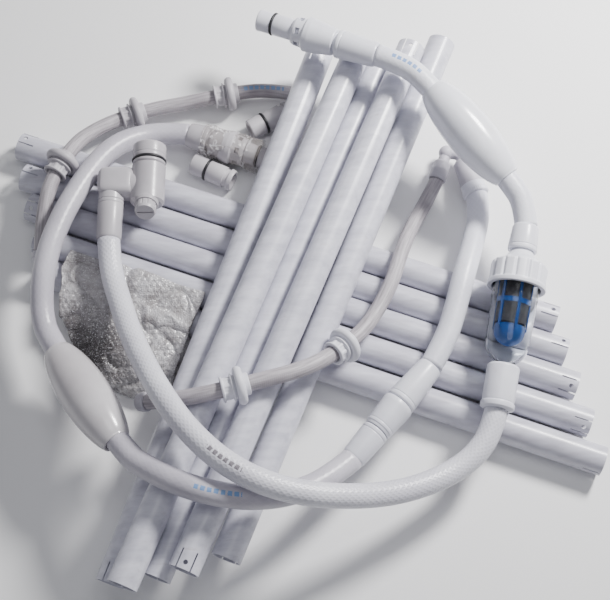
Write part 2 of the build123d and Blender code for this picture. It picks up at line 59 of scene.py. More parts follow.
# ---- routes of the free hoses, metres --------------------------------------
ROUTES = {
    "hose_top": [
        (0.1, 0.294, 0.117), (0.131, 0.281, 0.119), (0.16, 0.2585, 0.1165), (0.271, 0.1232, 0.087),
        (0.2823, 0.098, 0.0818), (0.2838, 0.0723, 0.0773),
    ],
    "hose_outer": [
        (0.2365, -0.1597, 0.0647), (0.2275, -0.1885, 0.062), (0.21, -0.213, 0.0605),
        (0.182, -0.234, 0.061), (0.144, -0.2525, 0.071), (0.1, -0.266, 0.089),
        (0.053, -0.273, 0.114), (0.005, -0.273, 0.133), (-0.042, -0.262, 0.143),
        (-0.083, -0.24, 0.145), (-0.119, -0.208, 0.143), (-0.15, -0.168, 0.135),
        (-0.178, -0.12, 0.114), (-0.203, -0.068, 0.087), (-0.221, -0.018, 0.072),
        (-0.234, 0.0205, 0.066), (-0.238, 0.059, 0.066),
    ],
    "hose_left": [
        (-0.147, 0.229, 0.0245), (-0.175, 0.231, 0.025), (-0.203, 0.2255, 0.03),
        (-0.228, 0.212, 0.041), (-0.249, 0.19, 0.052), (-0.267, 0.161, 0.059),
        (-0.283, 0.127, 0.066), (-0.298, 0.086, 0.074), (-0.31, 0.043, 0.077),
        (-0.316, 0.002, 0.072), (-0.315, -0.039, 0.064), (-0.304, -0.071, 0.0622),
        (-0.198, -0.222, 0.0988), (-0.165, -0.244, 0.118), (-0.13, -0.262, 0.13),
        (-0.091, -0.2725, 0.127), (-0.052, -0.275, 0.115), (-0.013, -0.268, 0.098),
        (0.03, -0.25, 0.081), (0.064, -0.219, 0.066),
    ],
    "hose_right": [
        (0.16, -0.104, 0.057), (0.18, -0.07, 0.054), (0.194, -0.029, 0.054),
        (0.206, 0.014, 0.0535), (0.219, 0.056, 0.043), (0.231, 0.096, 0.03),
        (0.2345, 0.12, 0.0245), (0.233, 0.141, 0.022),
    ],
    "sweep_hose_a": [
        (0.182, 0.165, 0.018), (0.167, 0.134, 0.016), (0.146, 0.094, 0.029), (0.13, 0.052, 0.046),
        (0.118, 0.011, 0.052), (0.101, -0.025, 0.056), (0.078, -0.063, 0.066),
        (0.034, -0.104, 0.091), (-0.003, -0.125, 0.108), (-0.04, -0.138, 0.119),
        (-0.094, -0.153, 0.121), (-0.128, -0.158, 0.114), (-0.155, -0.158, 0.1),
        (-0.177, -0.155, 0.084),
    ],
    "sweep_hose_b": [
        (0.001, 0.295, 0.015), (-0.032, 0.298, 0.02), (-0.066, 0.296, 0.024),
        (-0.12, 0.285, 0.024), (-0.158, 0.277, 0.021), (-0.193, 0.269, 0.024),
        (-0.242, 0.25, 0.028), (-0.271, 0.228, 0.038), (-0.293, 0.199, 0.054),
        (-0.317, 0.147, 0.0605), (-0.324, 0.108, 0.056), (-0.326, 0.076, 0.051),
        (-0.325, 0.048, 0.05),
    ],
}
HOSE_D = 0.0285
SWEEP_D = 0.019


# ---- camera ----------------------------------------------------------------
def add_camera(position, aim, lens):
    """Camera at the given viewing angle."""
    data = bpy.data.cameras.new("view_camera")
    data.lens = lens
    camera = bpy.data.objects.new("view_camera", data)
    camera.location = position
    camera.rotation_mode = "QUATERNION"
    camera.rotation_quaternion = (Vector(aim) - Vector(position)).to_track_quat("-Z", "Y")
    bpy.context.collection.objects.link(camera)
    bpy.context.scene.camera = camera


add_camera((0.008, -0.5237, 1.4471), (0.008, 0.003, 0.0), 70.5)


# ---- materials -------------------------------------------------------------
class Nodes:
    """Short way to build one material's node tree."""

    def __init__(self, name):
        self.material = bpy.data.materials.new(name)
        self.material.use_nodes = True
        self.tree = self.material.node_tree
        self.shader = self.tree.nodes["Principled BSDF"]

    def add(self, kind, **settings):
        """One node with its attributes and, by input name or number, its values."""
        node = self.tree.nodes.new(kind)
        for key, value in settings.items():
            if key.startswith("in_"):
                slot = key[3:]
                node.inputs[int(slot) if slot.isdigit() else slot].default_value = value
            else:
                setattr(node, key, value)
        return node

    def link(self, source, output, target, socket):
        self.tree.links.new(source.outputs[output], target.inputs[socket])

    def place(self, stretch=(1, 1, 1), turn=0.0, source="Object"):
        """Texture position, stretched and turned about Z."""
        coordinates = self.add("ShaderNodeTexCoord")
        mapping = self.add("ShaderNodeMapping")
        mapping.inputs["Scale"].default_value = stretch
        mapping.inputs["Rotation"].default_value = (0, 0, turn)
        self.link(coordinates, source, mapping, "Vector")
        return mapping

    def noise(self, where, scale, detail=4.0, rough=0.55):
        node = self.add("ShaderNodeTexNoise", in_Scale=scale, in_Detail=detail, in_Roughness=rough)
        self.link(where, "Vector", node, "Vector")
        return node

    def ramp(self, source, output, low, high, start=0.35, end=0.65):
        """Blend of two colours over a span of the source value."""
        node = self.add("ShaderNodeValToRGB")
        points = node.color_ramp.elements
        points[0].position, points[0].color = start, (*low, 1)
        points[1].position, points[1].color = end, (*high, 1)
        self.link(source, output, node, "Fac")
        return node

    def spread(self, source, output, low, high):
        """Source value from 0..1 to low..high."""
        node = self.add("ShaderNodeMapRange")
        node.inputs["To Min"].default_value = low
        node.inputs["To Max"].default_value = high
        self.link(source, output, node, "Value")
        return node

    def mix(self, factor, factor_out, first, second, amount=1.0):
        """Mix of two colour outputs by a factor output."""
        node = self.add("ShaderNodeMix", data_type="RGBA")
        scaled = self.add("ShaderNodeMath", operation="MULTIPLY", in_1=amount)
        self.link(factor, factor_out, scaled, 0)
        self.link(scaled, 0, node, "Factor")
        self.tree.links.new(first, node.inputs[6])
        self.tree.links.new(second, node.inputs[7])
        return node

    def math(self, operation, first, second=None):
        """Math node on outputs or plain numbers."""
        node = self.add("ShaderNodeMath", operation=operation)
        for index, value in enumerate((first, second)):
            if isinstance(value, (int, float)):
                node.inputs[index].default_value = value
            elif value is not None:
                self.tree.links.new(value, node.inputs[index])
        return node.outputs[0]

    def tone(self, colour):
        """Colour node's output."""
        node = self.add("ShaderNodeRGB")
        node.outputs[0].default_value = (*colour, 1)
        return node.outputs[0]

    def printed(self, uv, where, colour, first, last, ink, half_width=0.03):
        """Row of plain dashes printed along the top of a hose, worn at the edges."""
        half = (last - first) / 2
        worn = self.math("SUBTRACT", self.noise(where, 420.0, 2.0).outputs[0], 0.5)
        aside = self.math("ABSOLUTE", self.math("SUBTRACT", uv.outputs[1], 0.5))
        aside = self.math("ADD", aside, self.math("MULTIPLY", worn, 0.016))
        ahead = self.math("ABSOLUTE", self.math("SUBTRACT", uv.outputs[0], first + half))
        dash = self.math("SINE", self.math("MULTIPLY", uv.outputs[0], 2 * math.pi / 0.0072))
        dash = self.math("ADD", dash, self.math("MULTIPLY", worn, 1.6))
        inside = self.math("MULTIPLY", self.math("LESS_THAN", aside, half_width),
                           self.math("LESS_THAN", ahead, half))
        inside = self.math("MULTIPLY", inside, self.math("GREATER_THAN", dash, -0.55))
        node = self.add("ShaderNodeMix", data_type="RGBA")
        self.tree.links.new(self.math("MULTIPLY", inside, 0.85), node.inputs["Factor"])
        self.tree.links.new(colour, node.inputs[6])
        self.tree.links.new(self.tone(ink), node.inputs[7])
        return node.outputs[2]

    def bump(self, height, strength, distance=0.0004, below=None):
        node = self.add("ShaderNodeBump", in_Strength=strength, in_Distance=distance)
        self.tree.links.new(height, node.inputs["Height"])
        if below is not None:
            self.tree.links.new(below.outputs[0], node.inputs["Normal"])
        self.link(node, 0, self.shader, "Normal")
        return node


def plastic(name, tint, shade, rough=(0.3, 0.45), grime=(0.62, 0.6, 0.62), stretch=(1, 1, 1),
            turn=0.0, coat=0.0, bump=0.12, grime_amount=0.5):
    """Moulded or extruded plastic: mottled tint, handling grime, fine grain."""
    m = Nodes(name)
    where = m.place(stretch, turn)
    mottle = m.ramp(m.noise(where, 14.0), 0, shade, tint, 0.3, 0.68)
    smears = m.noise(where, 31.0, 6.0, 0.7)
    mask = m.ramp(smears, 0, (0, 0, 0), (1, 1, 1), 0.56, 0.76)
    dirty = m.add("ShaderNodeRGB")
    dirty.outputs[0].default_value = (*grime, 1)
    colour = m.mix(mask, 0, mottle.outputs[0], dirty.outputs[0], grime_amount)
    m.tree.links.new(colour.outputs[2], m.shader.inputs["Base Color"])
    gloss = m.spread(m.noise(where, 55.0, 5.0, 0.65), 0, *rough)
    m.link(gloss, 0, m.shader, "Roughness")
    grain = m.noise(m.place(), 1900.0, 3.0)
    swell = m.noise(m.place(), 90.0, 2.0)
    low = m.bump(swell.outputs[0], bump, 0.0008)
    m.bump(grain.outputs[0], bump * 0.7, 0.00012, low)
    m.shader.inputs["Coat Weight"].default_value = coat
    m.shader.inputs["Coat Roughness"].default_value = 0.12
    m.shader.inputs["IOR"].default_value = 1.49
    return m


def braided(name, tint, shade, cords=13.0, pitch=0.0105, mark=None, depth=0.15, clear=0.12,
            threads=0.2):
    """Vinyl hose: criss-cross reinforcement under the skin, with an optional printed dash row.

    The mark is (first, last) in metres along the hose and its colour."""
    m = Nodes(name)
    uv = m.add("ShaderNodeSeparateXYZ")
    m.link(m.place(source="UV"), "Vector", uv, 0)
    along = m.math("MULTIPLY", uv.outputs[0], 2 * math.pi / pitch)
    around = m.math("MULTIPLY", uv.outputs[1], 2 * math.pi * cords)
    left = m.math("SINE", m.math("ADD", along, around))
    right = m.math("SINE", m.math("SUBTRACT", along, around))
    weave = m.math("MAXIMUM", left, right)
    where = m.place()
    mottle = m.ramp(m.noise(where, 12.0), 0, shade, tint, 0.32, 0.66)
    crossing = m.add("ShaderNodeValToRGB")
    crossing.color_ramp.elements[0].position = 0.72
    crossing.color_ramp.elements[1].position = 0.98
    m.tree.links.new(weave, crossing.inputs["Fac"])
    pale = m.tone([min(1.0, c * 1.16) for c in tint])
    colour = m.mix(crossing, 0, mottle.outputs[0], pale, threads).outputs[2]
    mask = m.ramp(m.noise(where, 26.0, 6.0, 0.7), 0, (0, 0, 0), (1, 1, 1), 0.57, 0.78)
    colour = m.mix(mask, 0, colour, m.tone((0.5, 0.47, 0.5)), 0.45).outputs[2]
    if mark:
        colour = m.printed(uv, where, colour, *mark)
    m.tree.links.new(colour, m.shader.inputs["Base Color"])
    m.link(m.spread(m.noise(where, 48.0, 4.0), 0, 0.26, 0.42), 0, m.shader, "Roughness")
    low = m.bump(weave, depth, 0.0005)
    m.bump(m.noise(where, 700.0, 3.0).outputs[0], 0.12, 0.0003, low)
    m.shader.inputs["Subsurface Weight"].default_value = clear
    m.shader.inputs["Subsurface Radius"].default_value = (0.006, 0.006, 0.007)
    m.shader.inputs["Specular IOR Level"].default_value = 0.55
    return m.material


def corded(name, tint, shade, mark=None):
    """Thin sweep hose: streaks along it and fine turns round it."""
    m = Nodes(name)
    uv = m.add("ShaderNodeSeparateXYZ")
    m.link(m.place(source="UV"), "Vector", uv, 0)
    streaks = m.noise(m.place((26, 22, 1), source="UV"), 1.0, 5.0, 0.62)
    where = m.place()
    mottle = m.ramp(m.noise(where, 17.0), 0, shade, tint, 0.32, 0.66)
    lines = m.ramp(streaks, 0, (0, 0, 0), (1, 1, 1), 0.42, 0.66)
    colour = m.mix(lines, 0, mottle.outputs[0], m.tone([c * 0.5 for c in shade]), 0.7).outputs[2]
    if mark:
        colour = m.printed(uv, where, colour, *mark)
    m.tree.links.new(colour, m.shader.inputs["Base Color"])
    m.link(m.spread(streaks, 0, 0.42, 0.6), 0, m.shader, "Roughness")
    turns = m.math("SINE", m.math("MULTIPLY", uv.outputs[0], 2 * math.pi / 0.0024))
    low = m.bump(turns, 0.16, 0.0003)
    m.bump(streaks.outputs[0], 0.4, 0.0006, low)
    m.shader.inputs["Subsurface Weight"].default_value = 0.1
    m.shader.inputs["Subsurface Radius"].default_value = (0.005, 0.005, 0.005)
    return m.material


def clear_plastic(name):
    """Clear moulded bowl with scratches and a slight haze."""
    m = Nodes(name)
    where = m.place()
    m.link(m.ramp(m.noise(where, 40.0), 0, (0.86, 0.9, 0.93), (0.96, 0.98, 1.0)), 0,
           m.shader, "Base Color")
    scratches = m.noise(m.place((1, 22, 1), 0.9), 260.0, 5.0, 0.7)
    m.link(m.spread(scratches, 0, 0.0, 0.09), 0, m.shader, "Roughness")
    m.bump(m.noise(where, 60.0, 2.0).outputs[0], 0.12, 0.0006)
    m.shader.inputs["Transmission Weight"].default_value = 1.0
    m.shader.inputs["IOR"].default_value = 1.3
    return m.material


def bubble_film(name, painted_shadow_centre):
    """Bubble film: bump domes over a see-through sheet, with painted glints and a painted shadow that turns it
    near-black round one point.
    """
    m = Nodes(name)
    where = m.place()
    # painted shadow: within about 62 to 108 mm of one point the film's colour fades to near-black
    painted_shadow_distance = m.add("ShaderNodeVectorMath", operation="DISTANCE")
    m.link(where, "Vector", painted_shadow_distance, 0)
    painted_shadow_distance.inputs[1].default_value = painted_shadow_centre
    uneven = m.math("ADD", painted_shadow_distance.outputs["Value"],
                    m.math("MULTIPLY", m.noise(where, 34.0, 5.0, 0.65).outputs[0], 0.07))
    # reach of the painted shadow, from full near-black to none
    depth = m.add("ShaderNodeMapRange")
    depth.inputs["From Min"].default_value = 0.062
    depth.inputs["From Max"].default_value = 0.108
    m.tree.links.new(uneven, depth.inputs["Value"])
    folds = m.ramp(m.noise(where, 44.0, 7.0, 0.75), 0, (0.27, 0.25, 0.25), (0.55, 0.54, 0.56),
                   0.36, 0.66)
    colour = m.mix(depth, 0, m.tone((0.05, 0.043, 0.045)), folds.outputs[0]).outputs[2]
    domes = m.add("ShaderNodeTexVoronoi", in_Scale=420.0, in_Randomness=0.7)
    m.link(where, "Vector", domes, "Vector")
    # painted glints: small white specks mixed into the film's colour
    painted_glints = m.ramp(m.noise(where, 520.0, 3.0, 0.7), 0, (0, 0, 0), (1, 1, 1), 0.58, 0.66)
    colour = m.mix(painted_glints, 0, colour, m.tone((0.9, 0.9, 0.94)), 0.75).outputs[2]
    m.tree.links.new(colour, m.shader.inputs["Base Color"])
    m.link(m.spread(m.noise(where, 120.0, 3.0), 0, 0.06, 0.24), 0, m.shader, "Roughness")
    low = m.bump(m.noise(where, 130.0, 6.0, 0.7).outputs[0], 0.5, 0.0016)
    m.bump(m.math("MULTIPLY", domes.outputs["Distance"], -1.0), 0.6, 0.0012, low)
    m.link(m.spread(m.noise(where, 90.0, 5.0, 0.7), 0, 0.8, 1.15), 0, m.shader, "Alpha")
    m.shader.inputs["Specular IOR Level"].default_value = 0.9
    m.shader.inputs["Coat Weight"].default_value = 0.6
    return m.material


def thin_film(name, tint):
    """Crumpled clear film with pale creases."""
    m = Nodes(name)
    where = m.place()
    creases = m.noise(where, 30.0, 4.0, 0.55)
    ridge = m.math("ABSOLUTE", m.math("SUBTRACT", creases.outputs[0], 0.5))
    pale = m.math("SUBTRACT", 1.0, m.math("MULTIPLY", ridge, 45.0))
    sharp = m.add("ShaderNodeMapRange")
    m.tree.links.new(pale, sharp.inputs["Value"])
    m.tree.links.new(m.mix(sharp, 0, m.tone(tint), m.tone((0.93, 0.93, 0.95))).outputs[2],
                     m.shader.inputs["Base Color"])
    m.link(m.spread(m.noise(where, 150.0, 3.0), 0, 0.05, 0.22), 0, m.shader, "Roughness")
    m.bump(creases.outputs[0], 0.7, 0.006)
    m.link(m.spread(sharp, 0, 0.3, 0.7), 0, m.shader, "Alpha")
    m.shader.inputs["Specular IOR Level"].default_value = 0.9
    return m.material


def metal(name):
    """Brushed spring steel."""
    m = Nodes(name)
    where = m.place((1, 1, 14))
    m.link(m.ramp(m.noise(where, 300.0), 0, (0.42, 0.42, 0.44), (0.7, 0.7, 0.72)), 0,
           m.shader, "Base Color")
    m.link(m.spread(m.noise(where, 500.0), 0, 0.22, 0.42), 0, m.shader, "Roughness")
    m.shader.inputs["Metallic"].default_value = 1.0
    return m.material


def mesh_cloth(name):
    """Woven strainer mesh: wires with real holes between them."""
    m = Nodes(name)
    uv = m.add("ShaderNodeSeparateXYZ")
    m.link(m.place(source="UV"), "Vector", uv, 0)
    long_wires = m.math("SINE", m.math("MULTIPLY", uv.outputs[1], 2 * math.pi * 64))
    ring_wires = m.math("SINE", m.math("MULTIPLY", uv.outputs[0], 2 * math.pi / 0.0019))
    wires = m.math("MAXIMUM", long_wires, ring_wires)
    m.link(m.ramp(m.noise(m.place(), 90.0), 0, (0.05, 0.05, 0.06), (0.13, 0.12, 0.13)), 0,
           m.shader, "Base Color")
    solid = m.add("ShaderNodeMath", operation="GREATER_THAN", in_1=0.1)
    m.tree.links.new(wires, solid.inputs[0])
    m.link(solid, 0, m.shader, "Alpha")
    m.bump(wires, 0.6, 0.0003)
    m.shader.inputs["Roughness"].default_value = 0.5
    return m.material


BUNDLE_TURN = math.radians(-19.4)
TOP_TURN = math.radians(69.0)
BRIGHT = (0.80, 0.81, 0.87)
COOL = (0.64, 0.64, 0.73)
MATERIALS = {
    # painted shade: the floor tubes lie under the rest and get a darker copy of the top tubes' plastic
    "floor_tube": plastic("extruded_floor_shaded", (0.62, 0.62, 0.7), (0.45, 0.44, 0.51), (0.28, 0.42),
                          (0.38, 0.34, 0.36), (1.2, 7, 7), -BUNDLE_TURN, 0.15).material,
    "top_tube": plastic("extruded_top", (0.7, 0.7, 0.78), (0.52, 0.52, 0.6), (0.26, 0.4),
                        (0.44, 0.4, 0.42), (1.2, 7, 7), -TOP_TURN, 0.15).material,
    "white": plastic("moulded_white", (0.80, 0.81, 0.87), (0.66, 0.66, 0.74), (0.26, 0.42),
                     coat=0.2).material,
    # painted shade: a greyer, tanner copy of the white plastic for the left-hand pieces, where less light falls
    "shaded_white": plastic("shaded_white_moulded", (0.52, 0.5, 0.53), (0.38, 0.36, 0.39), (0.28, 0.45),
                    (0.4, 0.36, 0.37), coat=0.15).material,
    # painted shade: a greyer, tanner copy of the float plastic for the lower float, where less light falls
    "shaded_float": plastic("shaded_float", (0.62, 0.6, 0.62), (0.5, 0.47, 0.49), (0.16, 0.3),
                          (0.42, 0.38, 0.38), coat=0.45, bump=0.2, grime_amount=0.35).material,
    # painted shade: a greyer copy of the ring plastic for rings 3 to 5, where less light falls
    "shaded_ring": plastic("shaded_ring", (0.56, 0.54, 0.58), (0.4, 0.38, 0.41), (0.38, 0.55)).material,
    "float": plastic("blown_float", (0.84, 0.85, 0.9), (0.74, 0.75, 0.82), (0.16, 0.3),
                     (0.66, 0.64, 0.66), coat=0.45, bump=0.2, grime_amount=0.3).material,
    "ring": plastic("soft_ring", (0.78, 0.78, 0.84), (0.64, 0.64, 0.7), (0.38, 0.55)).material,
    "grey": plastic("grey_fitting", (0.56, 0.55, 0.6), (0.42, 0.4, 0.45), (0.4, 0.58),
                    (0.36, 0.33, 0.36)).material,
    "rubber": plastic("seal_rubber", (0.022, 0.022, 0.026), (0.012, 0.012, 0.014), (0.35, 0.55),
                      (0.05, 0.05, 0.05)).material,
    "blue": plastic("basket_blue", (0.012, 0.12, 0.46), (0.006, 0.07, 0.3), (0.18, 0.32),
                    (0.02, 0.1, 0.3), coat=0.5).material,
    "bowl": clear_plastic("clear_bowl"),
    "mesh": mesh_cloth("strainer_mesh"),
    "steel": metal("spring_steel"),
    "hose_top": braided("hose_top_vinyl", (0.80, 0.81, 0.87), (0.68, 0.68, 0.76),
                        mark=(0.019, 0.063, (0.12, 0.26, 0.56)), depth=0.08, threads=0.12),
    "hose_outer": braided("hose_outer_vinyl", (0.73, 0.73, 0.79), (0.58, 0.57, 0.64), cords=16.0,
                          pitch=0.0075, mark=(0.363, 0.41, (0.13, 0.11, 0.13)), depth=0.24,
                          threads=0.36),
    # painted shade: the left hose gets a darker tint than the other hoses, as less light falls on the left
    "hose_left": braided("hose_left_vinyl_shaded", (0.58, 0.56, 0.62), (0.42, 0.4, 0.46),
                         mark=(0.684, 0.735, (0.1, 0.26, 0.55)), depth=0.08, threads=0.14),
    "hose_right": braided("hose_right_vinyl", (0.76, 0.77, 0.84), (0.62, 0.62, 0.7), depth=0.08,
                          threads=0.1),
    "sweep_a": corded("sweep_vinyl", (0.52, 0.49, 0.52), (0.38, 0.35, 0.38)),
    "sweep_b": corded("sweep_vinyl_marked", (0.5, 0.47, 0.5), (0.35, 0.32, 0.35),
                      mark=(0.023, 0.079, (0.16, 0.28, 0.5), 0.05)),
    # the point given here is the centre of the film's painted shadow
    "bubble": bubble_film("bubble_film", (-0.267, -0.078, 0.045)),
    "bag": thin_film("clear_bag", (0.4, 0.36, 0.34)),
}


def paint(obj, material):
    obj.data.materials.clear()
    obj.data.materials.append(MATERIALS[material])


# ---- mesh helpers ----------------------------------------------------------
def keep(name, mesh, material, body, replaced=(), smooth=True):
    """Object for a finished mesh, painted and riding on its body."""
    obj = bpy.data.objects.new(name, mesh)
    bpy.context.collection.objects.link(obj)
    paint(obj, material)
    for face in mesh.polygons:
        face.use_smooth = smooth
    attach(obj, body)
    if replaced:
        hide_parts(*replaced)
    return obj


def rings_mesh(name, rings, ends=(True, True), closed=False):
    """Skin over rings of equal count. Each ring is (points, distance along)."""
    count = len(rings[0][0])
    vertices = [point for points, _ in rings for point in points]
    faces, coordinates = [], []
    pairs = list(zip(range(len(rings)), range(1, len(rings))))
    if closed:
        pairs.append((len(rings) - 1, 0))
    for low, high in pairs:
        for step in range(count):
            after = (step + 1) % count
            faces.append((low * count + step, low * count + after,
                          high * count + after, high * count + step))
            first, last = step / count, (step + 1) / count
            coordinates.append(((rings[low][1], first), (rings[low][1], last),
                                (rings[high][1], last), (rings[high][1], first)))
    for flag, ring, order in ((ends[0], 0, -1), (ends[1], len(rings) - 1, 1)):
        if flag and not closed:
            faces.append([ring * count + step for step in range(count)][::order])
            coordinates.append([(rings[ring][1], 0.0)] * count)
    mesh = bpy.data.meshes.new(name)
    mesh.from_pydata([tuple(v) for v in vertices], [], faces)
    layer = mesh.uv_layers.new(name="UVMap")
    flat = [pair for face in coordinates for pair in face]
    for loop, pair in zip(layer.data, flat):
        loop.uv = pair
    mesh.validate()
    tidy = bmesh.new()
    tidy.from_mesh(mesh)
    bmesh.ops.recalc_face_normals(tidy, faces=tidy.faces)
    tidy.to_mesh(mesh)
    tidy.free()
    return mesh


def axes_of(start, direction):
    """Unit direction and two unit vectors across it, the first one level."""
    direction = Vector(direction).normalized()
    across = Vector((0, 0, 1)).cross(direction).normalized()
    return Vector(start), direction, across, direction.cross(across)


def softened(profile, size=0.6):
    """The outline with each sharp corner cut into three points."""
    points = [Vector(p) for p in profile]
    out = [points[0]]
    for before, corner, after in zip(points, points[1:], points[2:]):
        back, on = before - corner, after - corner
        if back.length < 1e-6 or on.length < 1e-6 or back.angle(on) > math.radians(160):
            out.append(corner)
            continue
        cut = min(size, back.length * 0.35, on.length * 0.35)
        first = corner + back.normalized() * cut
        last = corner + on.normalized() * cut
        out += [first, (first + last + corner * 2) / 4, last]
    out.append(points[-1])
    return out


def lathe(name, start, direction, profile, material, body=KIT, replaced=(),
          steps=72, shape=None, closed=False, soft=0.6):
    """Turned piece. The profile is (height, radius) in mm from start along direction."""
    origin, along, across, up = axes_of(start, direction)
    rings = []
    travel = 0.0
    outline = softened(profile, soft)
    for index, (height, radius) in enumerate(outline):
        if index:
            travel += (outline[index] - outline[index - 1]).length * MM
        ring = []
        for step in range(steps):
            angle = 2 * math.pi * step / steps
            r = shape(angle, height, radius) if shape else radius
            ring.append(origin + along * height * MM
                        + (across * math.cos(angle) + up * math.sin(angle)) * r * MM)
        rings.append((ring, travel))
    return keep(name, rings_mesh(name, rings, closed=closed), material, body, replaced)


def spline_line(name, route):
    """Points along the smooth line of a route."""
    curve = bpy.data.curves.new(name, "CURVE")
    curve.dimensions = "3D"
    spline = curve.splines.new("NURBS")
    spline.points.add(len(route) - 1)
    for point, place in zip(spline.points, route):
        point.co = (*place, 1.0)
    spline.order_u = 3
    spline.use_endpoint_u = True
    curve.resolution_u = 14
    carrier = bpy.data.objects.new(name, curve)
    bpy.context.collection.objects.link(carrier)
    sampled = bpy.data.meshes.new_from_object(carrier)
    line = [vertex.co.copy() for vertex in sampled.vertices]
    bpy.data.objects.remove(carrier)
    bpy.data.meshes.remove(sampled)
    return line


def tube_mesh(name, line, diameter, steps=40, sag=0.0):
    """Round tube along a line, its UVs in metres along and in turns from the bottom."""
    down = Vector((0, 0, -1))
    rings, travel = [], 0.0
    for index, point in enumerate(line):
        before = line[max(0, index - 1)]
        after = line[min(len(line) - 1, index + 1)]
        tangent = (after - before).normalized()
        normal = (down - tangent * down.dot(tangent)).normalized()
        side = tangent.cross(normal)
        if index:
            travel += (point - line[index - 1]).length
        uneven = 1 + sag * noise.noise(point * 22.0)
        ring = [point + (normal * math.cos(2 * math.pi * s / steps)
                         + side * math.sin(2 * math.pi * s / steps)) * diameter / 2 * uneven
                for s in range(steps)]
        rings.append((ring, travel))
    return rings_mesh(name, rings), travel


# ---- free hoses ------------------------------------------------------------
HOSE_LOOKS = {
    "hose_top": ("hose_top", HOSE_D, "feed_hose"), "hose_outer": ("hose_outer", HOSE_D, "feed_hose"),
    "hose_left": ("hose_left", HOSE_D, "feed_hose"),
    "hose_right": ("hose_right", HOSE_D, "feed_hose"),
    "sweep_hose_a": ("sweep_a", SWEEP_D, "sweep_hose"),
    "sweep_hose_b": ("sweep_b", SWEEP_D, "sweep_hose"),
}
LINES = {}
for name, route in ROUTES.items():
    look, diameter, slot_name = HOSE_LOOKS[name]
    LINES[name] = spline_line(name + "_line", route)
    mesh, length = tube_mesh(name + "_skin", LINES[name], diameter, sag=0.012)
    keep(name + "_skin", mesh, look, KIT, [name])


# ---- turned fittings -------------------------------------------------------
def joint_axis(name):
    """Point and direction of a joint's axis."""
    joint = JOINTS[name]
    return Vector(joint["pos_m"]), Vector(joint["axis"])


def nut(name, start, direction, length, wide, narrow, replaced, look="white"):
    """Tapered hose nut with a shallow bead behind its fitting end."""
    profile = [(0, 9.5), (0, wide - 1), (1.5, wide), (5, wide), (5.6, wide - 0.5), (6.4, wide - 0.5),
               (7, wide - 0.05), (length - 3, narrow), (length, narrow - 1), (length, 9.5)]
    return lathe(name, start, direction, profile, look, replaced=[replaced], closed=True)


def plug(name, start, direction, length, seal_at, snap, body, replaced, look):
    """Quick-connect nipple with its O-ring groove and snap bead."""
    profile = [(0, 9), (0, 13.2), (0.8, 14.3), (2.6, 14.5), (5, 14.05), (seal_at - 2, 14),
               (seal_at - 2, 12), (seal_at + 2, 12), (seal_at + 2, 14), (length, 14), (length, 12),
               (snap + 0.8, 12), (snap + 0.8, 14.6), (snap + 7, 13.6), (snap + 7, 9)]
    return lathe(name, start, direction, profile, look, body, replaced=replaced, closed=True,
                 soft=0.45)


# the left connector takes the darker copy of the white plastic: painted shade
for side, body, joint, route, length, seal_at, barrel, look in (
        ("top", "top_plug", "top_plug_spin", ROUTES["hose_top"], 50, 21, 57.5, "white"),
        ("left", "left_plug", "left_plug_spin", ROUTES["hose_left"], 36, 19, 48, "shaded_white")):
    place, axis = joint_axis(joint)
    total = (Vector(route[0]) - place).length / MM
    plug(f"{side}_plug_turned", place, axis, length, seal_at, length + 5.8, body,
         [f"{side}_nipple"], look)
    nut_start = length + 0.8 + barrel + 4
    nut(f"{side}_nut_turned", place + axis * nut_start * MM, axis, total - nut_start, 18.6, 16.2,
        f"{side}_hose_nut", look)

# inline filter
filter_place, filter_axis = joint_axis("clamp_ring_turn")


def fluted(angle, height, radius):
    """Fourteen narrow grooves between broad lands on the clamp ring."""
    if radius < 33.5 or height > 43.5:
        return radius
    return radius - 2.4 * (0.5 + 0.5 * math.cos(14 * angle)) ** 7


lathe("clamp_ring_turned", filter_place, filter_axis,
      [(18, 31.8), (18, 33), (20.5, 34.9), (42.5, 34.9), (44, 36), (49, 36), (49, 30.2),
       (41, 30.2), (38.6, 31.8)], "white", "clamp_ring", replaced=["filter_collar"], steps=252,
      shape=fluted, closed=True)
lathe("filter_cap_turned", filter_place, filter_axis,
      [(-30, 7.5), (-30, 9.5), (0, 9.5), (0, 14), (5, 16.5), (8, 18), (9, 19.6), (16, 26.4),
       (18, 28.6), (20, 31.5), (33, 31.5), (33, 29.6), (29.8, 29.6), (29.8, 26.4), (24, 26.4),
       (12, 12), (4, 7.5)], "white", replaced=["filter_cap"], steps=96, closed=True)
lathe("filter_bowl_turned", filter_place, filter_axis,
      [(33, 26), (33, 31.5), (37, 31.5), (39, 28.5), (60, 28.2), (61, 28.7), (63, 28.7), (64, 28.1),
       (112, 27.2), (120, 27), (127, 25.8), (132, 24), (137, 20.8), (141, 17), (144, 12.5),
       (148, 12.5), (148, 9.5), (199, 9.5), (199, 7.5), (142, 7.5), (138, 14), (133.5, 18.6),
       (130, 21.5), (125, 23.6), (119, 24.5)], "bowl",
      replaced=["filter_bowl"], steps=96, closed=True, soft=1.2)
lathe("strainer_mesh_turned", filter_place, filter_axis,
      [(34.6, 18.4), (34.6, 19.2), (97, 19.2), (97, 18.4)], "mesh",
      replaced=["strainer_mesh"], steps=96, closed=True, soft=0.1)
nut("inlet_nut_turned", filter_place, -filter_axis, 34, 18.2, 16.4, "filter_inlet_nut")
lathe("outlet_nut_turned", filter_place + filter_axis * 148 * MM, filter_axis,
      [(0, 9.5), (0, 18), (2.5, 20), (44.5, 19.6), (45.5, 19.2), (46.4, 19.3), (47, 20.6),
       (53, 20.6), (55, 16.2), (55, 9.5)], "white", replaced=["filter_outlet_nut"], closed=True)

